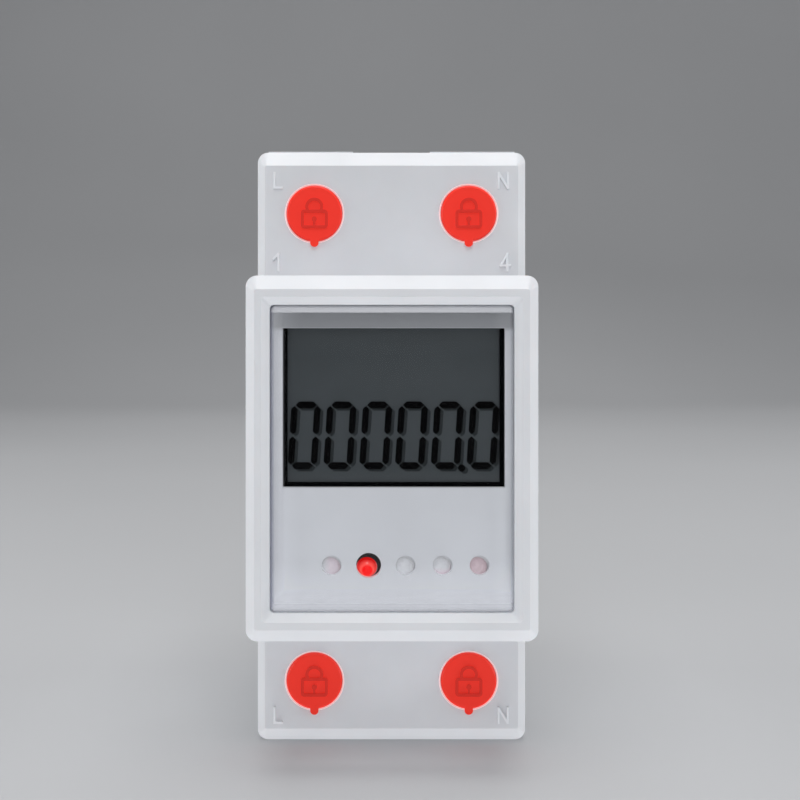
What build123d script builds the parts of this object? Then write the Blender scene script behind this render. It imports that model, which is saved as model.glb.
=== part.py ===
"""Two-module prepaid electricity meter for a 35 mm rail, as separate pieces.

Millimetres. +X is right seen from the front, +Z is up, the front faces -Y. The origin lies
on the rail's centre line, in the plane where the rail's front face touches the meter,
midway across the width. A "depth" is a distance in front of that plane, so depth = -Y.
"""

import math
import os

from build123d import *

os.makedirs("parts", exist_ok=True)

# ---------------------------------------------------------------- case, outside
WIDTH = 36.0
HEIGHT = 79.0
CORNER_R = 1.4
FACE_CORNER_R = 0.25
WALL = 1.6
REAR = -5.5
SEAM = 32.0
SHOULDER = 44.0
FRONT = 61.5
NOSE_HEIGHT = 45.0
BEVEL_DEPTH = 1.65
SHOULDER_BEVEL = (1.1, 1.9)
NOSE_BEVEL = (1.2, 1.7)
SEAM_GROOVE = 0.3
HALF_W = WIDTH / 2
HALF_H = HEIGHT / 2
PAST = 1.0
NEAR = 0.01
CLEARANCE = 0.2

# ---------------------------------------------------------------- rail and its clip
RAIL_HALF = 17.5
RAIL_PLAY = 0.2
FLANGE_GAP = 1.2
CLAW_TIP_Z = 15.9
CLAW_LEAD = 0.9
CLIP_PLATE = ((-8.0, 8.0), (-3.2, -1.2), (-39.0, -16.1))
CLIP_RIDGE = ((-6.0, 6.0), (-5.2, -3.2), (-39.0, -20.0))
CLIP_LEAD = 1.2
CLIP_WINDOW = ((-1.8, 1.8), (-4.0, -1.2), (-32.3, -22.5))
CLIP_SLOT = ((-3.0, 3.0), (-5.2, -1.2), (-37.6, -35.8))
SPRING_POST = ((-1.4, 1.4), (-3.8, -1.0), (-32.0, -30.5))
SPRING_TROUGH = ((-1.9, 1.9), (-1.0, -0.4), (-30.5, -22.0))
SPRING_SPAN = (-30.5, -22.5)
SPRING_DEPTH = -2.2
SPRING_MEAN_R = 1.35
SPRING_WIRE_R = 0.2
SPRING_PITCH = 1.1

# ---------------------------------------------------------------- terminals
TERM_X = 10.3
TERM_Z = 31.2
SHAFT_HALF = (4.6, 3.6)
SHAFT_DEPTHS = (11.9, SEAM)
ENTRY_R = 2.9
ENTRY_DEPTH = 16.1
ENTRY_MOUTH = 0.8
CAGE_HALF = (4.4, 3.4)
CAGE_DEPTHS = (12.1, 26.6)
CAGE_WALL = 1.2
CAGE_NUT = 2.8
CAGE_BORE_R = 2.56
SCREW_R = 2.5
SCREW_CORE_R = 2.1
SCREW_PITCH = 0.8
SHANK_DEPTHS = (21.0, 34.1)
HEAD_R = 3.5
HEAD_DEPTHS = (34.1, 37.3)
HEAD_SLOT = (1.1, 1.5, 2.1)
HEAD_EDGE = 0.25
RETAINER_SPAN = ((-15.9, 15.9), (32.0, 34.0), (24.6, 34.9))
RETAINER_HOLE_R = 2.8
WELL_R = 4.7
WELL_POCKET_R = 3.75
WELL_POCKET_TOP = 38.2
ACCESS_R = 3.0
CAP_RECESS_R = 3.76
CAP_RECESS = 0.9
CAP_RECESS_LEAD = 0.18

# ---------------------------------------------------------------- seal caps
CAP_R = 3.7
CAP_DEPTHS = (43.1, 44.4)
CAP_EDGE = 0.2
CAP_STEM_R = 2.85
CAP_STEM_BORE_R = 1.9
CAP_STEM_END = 38.6
CAP_SPLIT = 0.9
CAP_TAB_R = 0.55
CAP_TAB_REACH = 3.9
EMBOSS = 0.2
LOCK_BODY = (3.6, 2.5)
LOCK_LINE = 0.4
LOCK_R = 0.45
LOCK_DROP = 0.75
SHACKLE_R = (0.8, 1.2)
SHACKLE_RISE = 0.9
KEYHOLE_R = 0.35
KEYHOLE_SLOT = (0.3, 0.8)

# ---------------------------------------------------------------- case inside
CAVITY = ((-16.4, 16.4), (WALL, SEAM), (-21.0, 21.0))
BAR_SLOT_HALF = 3.1
BAR_SLOT_DEPTH = 18.8
MIDDLE_POCKET = ((-4.4, 4.4), (11.0, SEAM))
MIDDLE_POCKET_Z = (23.5, 37.6)
REAR_POCKETS = ((1.0, 7.8), (9.4, 16.2))
REAR_POCKET_Z = (22.4, 34.0)
REAR_POCKET_FLOOR = 9.0
CASE_SCREW_X = 15.5
CASE_SCREW_Z = 37.0
CASE_SCREW_R = 1.0
CASE_SCREW_HEAD_R = 1.55
CASE_SCREW_DEPTHS = (20.0, 38.0)
CASE_SCREW_HEAD = 1.4
CASE_SCREW_CROSS = (0.5, 2.0, 0.8)
CASE_CLEAR_R = 1.15
CASE_SINK_R = 1.8
BOSS_R = 2.0
BOSS_PILOT_R = 1.05
BOSS_PILOT_END = 40.0
BOARD_POST_X = 15.0
BOARD_POST_Z = 19.5
BOARD_POST_R = 1.6
RELAY_RIB = ((-15.0, 5.0), (WALL, 2.4))
RELAY_RIB_Z = 9.0
RELAY_RIB_W = 1.2
NOSE_CAVITY = ((-16.4, 16.4), (-20.9, 20.9))
FRAME_BACK = 58.9
SHOULDER_CAVITY_Z = (22.5, 37.9)
PAD_X = (5.2, 16.6)
PAD_DEPTHS = (6.0, 41.8)
PAD_RISE = 0.2

# ---------------------------------------------------------------- window and face
OPENING = (30.0, 37.8)
OPENING_R = 0.5
OPENING_FLARE = 1.0
OPENING_DEPTH = 1.0
PANE = (29.6, 37.4)
PANE_DEPTHS = (58.8, 60.4)
PANE_EDGE = 0.2
PANE_FLANGE = ((-16.1, 16.1), (58.0, 58.8), (-20.6, 20.6))
PANEL = ((-16.1, 16.1), (56.8, 57.8), (-20.6, 20.6))
LCD_HOLE = ((-13.6, 14.05), (-3.8, 16.0))
LED_Z = -13.5
LED_X = (-7.5, -2.9, 1.7, 6.3, 10.9)
PULSE_INDEX = 1
PULSE_HOLE_R = 1.55
LED_HOLE_R = 1.225

# ---------------------------------------------------------------- marks on the shoulders
LETTER_HEIGHT = 2.25
FIGURE_HEIGHT = 2.5
MARK_WIDTH = 1.5
MARK_STROKE = 0.3
MARK_RISE = 0.25
MARKS = (
    ("L", -15.15, 35.6, LETTER_HEIGHT),
    ("N", 14.9, 35.6, LETTER_HEIGHT),
    ("1", -15.4, 24.7, FIGURE_HEIGHT),
    ("4", 15.2, 24.7, FIGURE_HEIGHT),
    ("L", -15.15, -35.8, LETTER_HEIGHT),
    ("N", 14.9, -35.8, LETTER_HEIGHT),
)
MARK_STROKES = {
    "L": (((-0.8, 1), (-0.8, -1)), ((-0.8, -1), (0.8, -1))),
    "N": (((-1, -1), (-1, 1)), ((-1, 1), (1, -1)), ((1, -1), (1, 1))),
    "1": (((0.5, -1), (0.5, 1)), ((0.5, 1), (-0.55, 0.4))),
    "4": (((0.4, -1), (0.4, 1)), ((0.4, 1), (-1, -0.4)), ((-1, -0.4), (1, -0.4))),
}

# ---------------------------------------------------------------- display unit
GASKET = ((-14.6, 14.9), (56.1, 56.8), (-4.9, 17.2))
GASKET_HOLE = ((-13.1, 13.5), (56.1, 56.8), (-3.3, 16.0))
LCD_FRONT_SHEET = ((-14.6, 14.9), (55.0, 56.1), (-6.4, 17.4))
LCD_REAR_SHEET = ((-14.6, 14.9), (53.9, 55.0), (-4.4, 17.4))
BACKLIGHT = ((-14.2, 14.5), (52.2, 53.9), (-4.0, 17.0))
CARRIER = ((-15.8, 15.9), (51.4, 56.1), (-8.4, 19.0))
CARRIER_HOLE = ((-14.7, 15.0), (51.4, 56.1), (-6.5, 17.5))
ZEBRA = ((-13.0, 13.0), (51.4, 55.0), (-6.3, -4.6))
DISPLAY_BOARD = ((-15.9, 15.9), (49.8, 51.4), (-20.4, 20.4))
LED_BODY_R = 1.3
LED_FLANGE_R = 1.5
LED_FLANGE = 0.9
LED_DROP = (-0.24, -0.45)
PULSE_TOP = 57.2
LED_TOP = 56.95

# ---------------------------------------------------------------- main board and its parts
BOARD = ((-15.9, 15.9), (26.0, 27.6), (-20.6, 20.6))
BOARD_TOP = BOARD[1][1]
SPACER_X = 14.4
SPACER_Z = 19.0
SPACER_R = 1.3
SPACER_HOLE_R = 0.7
HEADER_X = (2.0, 12.0)
HEADER_Z = (17.9, 20.1)
HEADER_BASE_TOP = 30.2
HEADER_PINS = 4
HEADER_PITCH = 2.54
PIN_SIDE = 0.64
PIN_TOP = 47.0
SOCKET_BOTTOM = 41.0
SOCKET_HOLE = 0.84
TRANSFORMER = (-6.6, 33.0, -12.0)
CORE_HALF = (6.5, 2.5, 6.2)
CORE_WINDOW_X = (1.6, 4.7)
CORE_WINDOW_Z = 4.4
WINDING_HALF = (4.5, 4.6, 4.2)
WINDING_FOOT = 0.8
WINDING_R = 0.6
X2_BODY = ((2.0, 12.6), (27.6, 38.6), (-19.6, -13.4))
X2_EDGE = 0.6
CAN_R = 3.15
CAN_TOP = 38.6
CAN_EDGE = 0.5
CANS = ((3.4, -8.6), (3.4, -1.6))
CAN_GROOVE = (30.4, 0.35, 0.3)
VARISTOR = (11.0, 32.4, -9.0)
VARISTOR_R = 3.9
VARISTOR_HALF = 1.8
VARISTOR_EDGE = 1.2
VARISTOR_LEADS = (-2.5, 2.5)
LEAD_R = 0.4
HOLDER = ((-15.4, -1.8), (27.6, 28.6), (4.7, 17.5))
HOLDER_ARM = 0.5
BATTERY = (-8.6, 11.1)
BATTERY_R = 6.2
BATTERY_CAP_R = 5.0
BATTERY_DEPTHS = (28.6, 30.6)
HOLDER_TOP = 31.4
METERING = ((-11.1, -2.9), (27.9, 29.5), (-1.9, 3.4))
CONTROLLER = ((1.6, 11.6), (27.8, 29.2), (7.2, 16.2))
CHIP_LEG = (0.3, 0.8)
METERING_LEGS = 12
CONTROLLER_LEGS = 14
CHIP_DOT = (0.45, 0.12)
CRYSTAL = ((8.0, 14.6), (27.6, 31.0), (0.6, 4.2))
CRYSTAL_R = 1.75

# ---------------------------------------------------------------- current path
BAR_DEPTHS = (19.0, 20.5)
BAR_HALF = 2.9
BAR_END_Z = 34.2
SHUNT_Z = (8.5, 16.5)
SHUNT_HALF = 2.4
SHUNT_DEPTHS = (19.1, 20.4)
LINK = ((-14.3, -7.4), (3.0, 8.5))
LINK_LEG = ((-14.3, -13.4), (6.0, BAR_DEPTHS[0]), (3.0, 8.5))
OUT_TOP_Z = -9.0
OUT_LEG = ((-12.95, -12.1), (6.0, BAR_DEPTHS[0]), (-12.8, -9.0))
SLOT_PLAY = 0.12

# ---------------------------------------------------------------- cut-off relay
RELAY = ((-15.9, 6.6), (2.4, 16.4), (-14.0, 14.0))
RELAY_WALL = 1.0
RELAY_LID = ((-15.9, 6.6), (16.4, 17.4), (-14.0, 14.0))
MECH_DEPTH = 10.0
PIVOT = (-5.6, 0.0)
PIN_R = 0.8
PIN_DEPTHS = (3.5, 15.9)
PIVOT_BOSS = (1.7, 0.88, 4.8)
ROCKER = (1.6, 18.0)
ROCKER_HALF_D = 3.5
ROCKER_TILT = 4.0
MAGNET = (1.9, 5.0)
MAGNET_OFFSET = 1.8
FINGER = (1.0, 2.6)
FINGER_Z = 10.1
CARD = ((-11.4, -4.4), (7.5, 12.5), (9.5, 12.6))
CARD_FORK = ((-7.05, -5.6), (7.5, 12.5), (9.4, 11.7))
BLADE = ((-12.0, -11.5), (7.5, 12.5), (-13.0, 12.2))
CONTACT_Z = 6.0
MOVING_CONTACT = (1.5, -12.65, -12.0)
FIXED_CONTACT = (1.6, -13.4, -12.7)
COIL_X = 0.8
ROD_R = 1.5
BOBBIN_R = 2.2
BOBBIN_CLEAR = 0.05
BOBBIN_HALF = 7.6
BOBBIN_FLANGE = (4.6, 1.0)
COIL_R = 4.3
POLE = ((-4.1, 2.6), (6.5, 13.5))
POLE_Z = (7.9, 9.4)

# ---------------------------------------------------------------- wires
WIRE_R = 0.45
WIRE_HOLE_R = 0.6
SENSE_WIRES = ((-10.0, 9.6), (-10.0, 15.4), (10.3, 6.0))
COIL_WIRES = ((2.0, -11.5), (4.0, -11.5))
COIL_WIRE_START = 15.2
WIRE_BOW = 0.6
WIRE_SAG = 1.0


def level(depth):
    """Plane parallel to the front, facing forward, at this depth."""
    return Plane.XZ.offset(depth)


def slab(x_span, depths, z_span, mode=Mode.ADD):
    """Rectangular block given by its limits across, from back to front and up."""
    centre = (sum(x_span) / 2, -sum(depths) / 2, sum(z_span) / 2)
    size = (x_span[1] - x_span[0], depths[1] - depths[0], z_span[1] - z_span[0])
    with Locations(centre):
        Box(*size, mode=mode)


def disc(x, z, radius, depths, mode=Mode.ADD):
    """Round block with its axis running from back to front."""
    with Locations((x, -sum(depths) / 2, z)):
        Cylinder(radius, depths[1] - depths[0], rotation=(90, 0, 0), mode=mode)


def mirrored(span, side):
    """The span itself for side 1, its mirror image for side -1."""
    return tuple(sorted(side * value for value in span))


def widened(span, play):
    """The span with this much added at both ends."""
    return (span[0] - play, span[1] + play)


def around(centre, half):
    """Span of this half width about a centre."""
    return (centre - half, centre + half)


def circles(builder, radius):
    """Circular edges of this radius on the piece being built."""
    rings = builder.edges().filter_by(GeomType.CIRCLE)
    return rings.filter_by(lambda edge: abs(edge.radius - radius) < NEAR)


def finish(builder, name):
    """Label a finished piece and write it."""
    builder.part.label = name
    export_step(builder.part, f"parts/{name}.step")


# ================================================================ base housing
rail_slot = (
    (0, -RAIL_HALF - RAIL_PLAY),
    (0, RAIL_HALF + RAIL_PLAY),
    (FLANGE_GAP, RAIL_HALF + RAIL_PLAY),
    (FLANGE_GAP, CLAW_TIP_Z),
    (-REAR - CLAW_LEAD, CLAW_TIP_Z),
    (-REAR, CLAW_TIP_Z + CLAW_LEAD),
    (PAST - REAR, CLAW_TIP_Z + CLAW_LEAD),
    (PAST - REAR, -RAIL_HALF - RAIL_PLAY),
)
corners = [(side, end) for side in (-1, 1) for end in (-1, 1)]
pad_z = (HALF_H - PAST, HALF_H + PAD_RISE)

with BuildPart() as base_housing:
    with BuildSketch(level(REAR)):
        RectangleRounded(WIDTH, HEIGHT, CORNER_R)
    extrude(amount=SEAM - REAR)
    chamfer(base_housing.faces().sort_by(Axis.Y)[0].edges(), SEAM_GROOVE)
    chamfer(base_housing.faces().sort_by(Axis.Y)[-1].edges(), SEAM_GROOVE)
    for side in (-1, 1):
        slab(mirrored(PAD_X, side), (PAD_DEPTHS[0], SEAM - SEAM_GROOVE), pad_z)
    # slot that takes the rail, with the fixed claw along its top
    with BuildSketch(Plane.YZ):
        with BuildLine():
            Polyline(*rail_slot, close=True)
        make_face()
    extrude(amount=HALF_W + PAST, both=True, mode=Mode.SUBTRACT)
    # T-shaped channel for the clip, with its spring trough and post
    channel_z = (-HALF_H - PAST, -RAIL_HALF)
    plate_x, plate_depths = (widened(span, CLEARANCE) for span in CLIP_PLATE[:2])
    slab(plate_x, plate_depths, channel_z, Mode.SUBTRACT)
    ridge_x = widened(CLIP_RIDGE[0], CLEARANCE)
    slab(ridge_x, (REAR - PAST, CLIP_RIDGE[1][1]), channel_z, Mode.SUBTRACT)
    slab(*SPRING_TROUGH, mode=Mode.SUBTRACT)
    slab(*SPRING_POST)
    # electronics bay, terminal shafts, bar slots, pockets between the shafts
    slab(*CAVITY, mode=Mode.SUBTRACT)
    for side, end in corners:
        shaft_x = around(side * TERM_X, SHAFT_HALF[0])
        shaft_z = around(end * TERM_Z, SHAFT_HALF[1])
        slab(shaft_x, SHAFT_DEPTHS, shaft_z, Mode.SUBTRACT)
        slot_x = around(side * TERM_X, BAR_SLOT_HALF)
        slot_z = mirrored((CAVITY[2][1], TERM_Z), end)
        slab(slot_x, (BAR_SLOT_DEPTH, SEAM), slot_z, Mode.SUBTRACT)
    for end in (-1, 1):
        slab(*MIDDLE_POCKET, mirrored(MIDDLE_POCKET_Z, end), Mode.SUBTRACT)
    # cored pockets in the back, two each side above the rail, one each side of the clip
    for side in (-1, 1):
        for pocket in REAR_POCKETS:
            slab(mirrored(pocket, side), (REAR, REAR_POCKET_FLOOR), REAR_POCKET_Z, Mode.SUBTRACT)
        outer = mirrored(REAR_POCKETS[1], side)
        slab(outer, (REAR, REAR_POCKET_FLOOR), mirrored(REAR_POCKET_Z, -1), Mode.SUBTRACT)
    # posts under the main board, ribs under the relay
    for side, end in corners:
        disc(side * BOARD_POST_X, end * BOARD_POST_Z, BOARD_POST_R, (WALL, BOARD[1][0]))
    for end in (-1, 1):
        slab(*RELAY_RIB, around(end * RELAY_RIB_Z, RELAY_RIB_W / 2))
    # stepped holes for the case screws
    for side, end in corners:
        screw_at = (side * CASE_SCREW_X, end * CASE_SCREW_Z)
        disc(*screw_at, CASE_SINK_R, (REAR, CASE_SCREW_DEPTHS[0]), Mode.SUBTRACT)
        disc(*screw_at, CASE_CLEAR_R, (REAR, SEAM), Mode.SUBTRACT)
    # cable entries through both ends
    for end in (-1, 1):
        with BuildSketch(Plane.XY.offset(end * (HALF_H + PAD_RISE))):
            with Locations((-TERM_X, -ENTRY_DEPTH), (TERM_X, -ENTRY_DEPTH)):
                Circle(ENTRY_R)
        extrude(amount=-end * (HALF_H + PAD_RISE - TERM_Z), mode=Mode.SUBTRACT)
    mouths = circles(base_housing, ENTRY_R)
    chamfer(mouths.filter_by(lambda edge: abs(edge.center().Z) > HALF_H - NEAR), ENTRY_MOUTH)
finish(base_housing, "base_housing")


# ================================================================ front cover
def bevelled(width, height, bevel):
    """Size of a rectangle drawn in by a bevel's reach across and up."""
    return (width - 2 * bevel[0], height - 2 * bevel[1])


def stroke(start, end):
    """One straight stroke of a mark, in the sketch being built."""
    run = (end[0] - start[0], end[1] - start[1])
    with Locations(((start[0] + end[0]) / 2, (start[1] + end[1]) / 2)):
        length = math.hypot(*run) + MARK_STROKE
        turn = math.degrees(math.atan2(run[1], run[0]))
        Rectangle(length, MARK_STROKE, rotation=turn)


with BuildPart() as front_cover:
    # shoulders, full height, with a bevel round their front edge
    with BuildSketch(level(SEAM)):
        RectangleRounded(WIDTH, HEIGHT, CORNER_R)
    extrude(amount=SHOULDER - BEVEL_DEPTH - SEAM)
    chamfer(front_cover.faces().sort_by(Axis.Y)[-1].edges(), SEAM_GROOVE)
    with BuildSketch(level(SHOULDER - BEVEL_DEPTH)):
        RectangleRounded(WIDTH, HEIGHT, CORNER_R)
    with BuildSketch(level(SHOULDER)):
        RectangleRounded(*bevelled(WIDTH, HEIGHT, SHOULDER_BEVEL), FACE_CORNER_R)
    loft()
    for side in (-1, 1):
        slab(mirrored(PAD_X, side), (SEAM + SEAM_GROOVE, PAD_DEPTHS[1]), pad_z)
    # raised nose with its own bevel
    with BuildSketch(level(SHOULDER - 2 * BEVEL_DEPTH)):
        RectangleRounded(WIDTH, NOSE_HEIGHT, CORNER_R)
    extrude(amount=FRONT - SHOULDER + BEVEL_DEPTH)
    with BuildSketch(level(FRONT - BEVEL_DEPTH)):
        RectangleRounded(WIDTH, NOSE_HEIGHT, CORNER_R)
    with BuildSketch(level(FRONT)):
        RectangleRounded(*bevelled(WIDTH, NOSE_HEIGHT, NOSE_BEVEL), FACE_CORNER_R)
    loft()
    # hollow nose and hollow shoulders, with a partition between them
    slab(NOSE_CAVITY[0], (SEAM, FRAME_BACK), NOSE_CAVITY[1], Mode.SUBTRACT)
    for end in (-1, 1):
        shoulder_z = mirrored(SHOULDER_CAVITY_Z, end)
        slab(NOSE_CAVITY[0], (SEAM, SHOULDER - WALL), shoulder_z, Mode.SUBTRACT)
    # window opening: straight throat, then a sloped flare to the front
    with BuildSketch(level(FRAME_BACK)):
        RectangleRounded(*OPENING, OPENING_R)
    extrude(amount=FRONT - OPENING_DEPTH - FRAME_BACK, mode=Mode.SUBTRACT)
    with BuildSketch(level(FRONT - OPENING_DEPTH)):
        RectangleRounded(*OPENING, OPENING_R)
    with BuildSketch(level(FRONT)):
        RectangleRounded(*bevelled(*OPENING, (-OPENING_FLARE, -OPENING_FLARE)), OPENING_R)
    loft(mode=Mode.SUBTRACT)
    # screw bosses and terminal wells
    for side, end in corners:
        boss_at = (side * CASE_SCREW_X, end * CASE_SCREW_Z)
        disc(*boss_at, BOSS_R, (SEAM, SHOULDER - WALL))
        disc(*boss_at, BOSS_PILOT_R, (SEAM, BOSS_PILOT_END), Mode.SUBTRACT)
        well_at = (side * TERM_X, end * TERM_Z)
        disc(*well_at, WELL_R, (RETAINER_SPAN[1][1], SHOULDER - WALL))
        disc(*well_at, WELL_POCKET_R, (RETAINER_SPAN[1][1], WELL_POCKET_TOP), Mode.SUBTRACT)
        disc(*well_at, ACCESS_R, (WELL_POCKET_TOP, SHOULDER), Mode.SUBTRACT)
        disc(*well_at, CAP_RECESS_R, (SHOULDER - CAP_RECESS, SHOULDER), Mode.SUBTRACT)
    rims = circles(front_cover, CAP_RECESS_R)
    chamfer(rims.filter_by_position(Axis.Y, *around(-SHOULDER, NEAR)), CAP_RECESS_LEAD)
    # raised terminal marks
    for mark, mark_x, mark_z, mark_height in MARKS:
        with BuildSketch(level(SHOULDER)):
            for start, stop in MARK_STROKES[mark]:
                half_w = (MARK_WIDTH - MARK_STROKE) / 2
                half_h = (mark_height - MARK_STROKE) / 2
                stroke(
                    (mark_x + start[0] * half_w, mark_z + start[1] * half_h),
                    (mark_x + stop[0] * half_w, mark_z + stop[1] * half_h),
                )
        extrude(amount=MARK_RISE)
finish(front_cover, "front_cover")


# ================================================================ case hardware
with BuildPart() as case_screws:
    for side, end in corners:
        screw_at = (side * CASE_SCREW_X, end * CASE_SCREW_Z)
        head = (CASE_SCREW_DEPTHS[0] - CASE_SCREW_HEAD, CASE_SCREW_DEPTHS[0])
        disc(*screw_at, CASE_SCREW_HEAD_R, head)
        disc(*screw_at, CASE_SCREW_R, CASE_SCREW_DEPTHS)
        thickness, reach, sink = CASE_SCREW_CROSS
        for width, height in ((thickness, reach), (reach, thickness)):
            slab(
                around(screw_at[0], width / 2),
                (head[0], head[0] + sink),
                around(screw_at[1], height / 2),
                Mode.SUBTRACT,
            )
finish(case_screws, "case_screws")

with BuildPart() as terminal_retainers:
    for end in (-1, 1):
        slab(RETAINER_SPAN[0], RETAINER_SPAN[1], mirrored(RETAINER_SPAN[2], end))
        for side in (-1, 1):
            disc(side * TERM_X, end * TERM_Z, RETAINER_HOLE_R, RETAINER_SPAN[1], Mode.SUBTRACT)
finish(terminal_retainers, "terminal_retainers")

with BuildPart() as din_clip:
    slab(*CLIP_PLATE)
    slab(*CLIP_RIDGE)
    slab(*CLIP_WINDOW, mode=Mode.SUBTRACT)
    slab(*CLIP_SLOT, mode=Mode.SUBTRACT)
    top_edges = din_clip.faces().sort_by(Axis.Z)[-1].edges().filter_by(Axis.X)
    chamfer(top_edges.sort_by(Axis.Y)[-1], CLIP_LEAD)
finish(din_clip, "din_clip")

with BuildPart() as din_clip_spring:
    with BuildLine() as spring_path:
        Helix(
            pitch=SPRING_PITCH,
            height=SPRING_SPAN[1] - SPRING_SPAN[0] - 2 * SPRING_WIRE_R,
            radius=SPRING_MEAN_R,
            center=(0, -SPRING_DEPTH, SPRING_SPAN[0] + SPRING_WIRE_R),
        )
    with BuildSketch(Plane(origin=spring_path.line @ 0, z_dir=spring_path.line % 0)):
        Circle(SPRING_WIRE_R)
    sweep(is_frenet=True)
finish(din_clip_spring, "din_clip_spring")


# ================================================================ window, face, display
with BuildPart() as display_window:
    with BuildSketch(level(PANE_DEPTHS[0])):
        RectangleRounded(*PANE, OPENING_R)
    extrude(amount=PANE_DEPTHS[1] - PANE_DEPTHS[0])
    chamfer(display_window.faces().sort_by(Axis.Y)[0].edges(), PANE_EDGE)
    slab(*PANE_FLANGE)
finish(display_window, "display_window")

with BuildPart() as face_panel:
    slab(*PANEL)
    slab(LCD_HOLE[0], PANEL[1], LCD_HOLE[1], Mode.SUBTRACT)
    for index, led_x in enumerate(LED_X):
        hole_r = PULSE_HOLE_R if index == PULSE_INDEX else LED_HOLE_R
        disc(led_x, LED_Z, hole_r, PANEL[1], Mode.SUBTRACT)
finish(face_panel, "face_panel")

with BuildPart() as lcd_gasket:
    slab(*GASKET)
    slab(*GASKET_HOLE, mode=Mode.SUBTRACT)
finish(lcd_gasket, "lcd_gasket")

with BuildPart() as lcd_glass:
    slab(*LCD_FRONT_SHEET)
    slab(*LCD_REAR_SHEET)
finish(lcd_glass, "lcd_glass")

with BuildPart() as lcd_backlight:
    slab(*BACKLIGHT)
finish(lcd_backlight, "lcd_backlight")

with BuildPart() as lcd_carrier:
    slab(*CARRIER)
    slab(*CARRIER_HOLE, mode=Mode.SUBTRACT)
finish(lcd_carrier, "lcd_carrier")

with BuildPart() as zebra_strip:
    slab(*ZEBRA)
finish(zebra_strip, "zebra_strip")

with BuildPart() as display_pcb:
    slab(*DISPLAY_BOARD)
    for side, end in corners:
        disc(side * SPACER_X, end * SPACER_Z, SPACER_HOLE_R, DISPLAY_BOARD[1], Mode.SUBTRACT)
finish(display_pcb, "display_pcb")


def led(x, top):
    """Round lamp on the display board: flange, body and domed end."""
    at = (x + LED_DROP[0], LED_Z + LED_DROP[1])
    foot = DISPLAY_BOARD[1][1]
    disc(*at, LED_FLANGE_R, (foot, foot + LED_FLANGE))
    disc(*at, LED_BODY_R, (foot, top - LED_BODY_R))
    with Locations((at[0], -(top - LED_BODY_R), at[1])):
        Sphere(LED_BODY_R)


with BuildPart() as pulse_led:
    led(LED_X[PULSE_INDEX], PULSE_TOP)
finish(pulse_led, "pulse_led")

with BuildPart() as indicator_leds:
    for index, led_x in enumerate(LED_X):
        if index != PULSE_INDEX:
            led(led_x, LED_TOP)
finish(indicator_leds, "indicator_leds")


# ================================================================ boards and their parts
with BuildPart() as main_pcb:
    slab(*BOARD)
    for wire_at in SENSE_WIRES + COIL_WIRES:
        disc(*wire_at, WIRE_HOLE_R, BOARD[1], Mode.SUBTRACT)
    for side, end in corners:
        disc(side * SPACER_X, end * SPACER_Z, SPACER_HOLE_R, BOARD[1], Mode.SUBTRACT)
finish(main_pcb, "main_pcb")

with BuildPart() as board_spacers:
    for side, end in corners:
        disc(side * SPACER_X, end * SPACER_Z, SPACER_R, (BOARD_TOP, DISPLAY_BOARD[1][0]))
finish(board_spacers, "board_spacers")

header_centre = (sum(HEADER_X) / 2, sum(HEADER_Z) / 2)

with BuildPart() as board_header:
    slab(HEADER_X, (BOARD_TOP, HEADER_BASE_TOP), HEADER_Z)
    with BuildSketch(level(HEADER_BASE_TOP)):
        with Locations(header_centre):
            with GridLocations(HEADER_PITCH, HEADER_PITCH, HEADER_PINS, 1):
                Rectangle(PIN_SIDE, PIN_SIDE)
    extrude(amount=PIN_TOP - HEADER_BASE_TOP)
finish(board_header, "board_header")

with BuildPart() as board_socket:
    slab(HEADER_X, (SOCKET_BOTTOM, DISPLAY_BOARD[1][0]), HEADER_Z)
    with BuildSketch(level(SOCKET_BOTTOM)):
        with Locations(header_centre):
            with GridLocations(HEADER_PITCH, HEADER_PITCH, HEADER_PINS, 1):
                Rectangle(SOCKET_HOLE, SOCKET_HOLE)
    extrude(amount=PIN_TOP + CLEARANCE - SOCKET_BOTTOM, mode=Mode.SUBTRACT)
finish(board_socket, "board_socket")

t_x, t_depth, t_z = TRANSFORMER

with BuildPart() as transformer_core:
    slab(*(around(*pair) for pair in zip(TRANSFORMER, CORE_HALF)))
    for side in (-1, 1):
        window_x = tuple(t_x + value for value in mirrored(CORE_WINDOW_X, side))
        slab(window_x, around(t_depth, CORE_HALF[1]), around(t_z, CORE_WINDOW_Z), Mode.SUBTRACT)
finish(transformer_core, "transformer_core")

with BuildPart() as transformer_coil:
    slab(*(around(*pair) for pair in zip(TRANSFORMER, WINDING_HALF)))
    fillet(transformer_coil.edges().filter_by(Axis.Z), WINDING_R)
    leg_x = around(t_x, CORE_WINDOW_X[0] + CLEARANCE)
    leg_depth = around(t_depth, CORE_HALF[1] + CLEARANCE)
    slab(leg_x, leg_depth, around(t_z, WINDING_HALF[2]), Mode.SUBTRACT)
    foot = (BOARD_TOP, t_depth - WINDING_HALF[1] + WINDING_FOOT / 2)
    slab(around(t_x, WINDING_HALF[0]), foot, around(t_z, CORE_HALF[2]))
finish(transformer_coil, "transformer_coil")

with BuildPart() as x2_capacitor:
    slab(*X2_BODY)
    fillet(x2_capacitor.edges().filter_by(Axis.Y), X2_EDGE)
    chamfer(x2_capacitor.faces().sort_by(Axis.Y)[0].edges(), X2_EDGE / 2)
finish(x2_capacitor, "x2_capacitor")

with BuildPart() as filter_capacitors:
    groove_at, groove_w, groove_sink = CAN_GROOVE
    for can_at in CANS:
        disc(*can_at, CAN_R - groove_sink, (BOARD_TOP, CAN_TOP))
        disc(*can_at, CAN_R, (BOARD_TOP, groove_at))
        disc(*can_at, CAN_R, (groove_at + groove_w, CAN_TOP - CAN_EDGE))
finish(filter_capacitors, "filter_capacitors")

v_x, v_depth, v_z = VARISTOR

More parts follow.
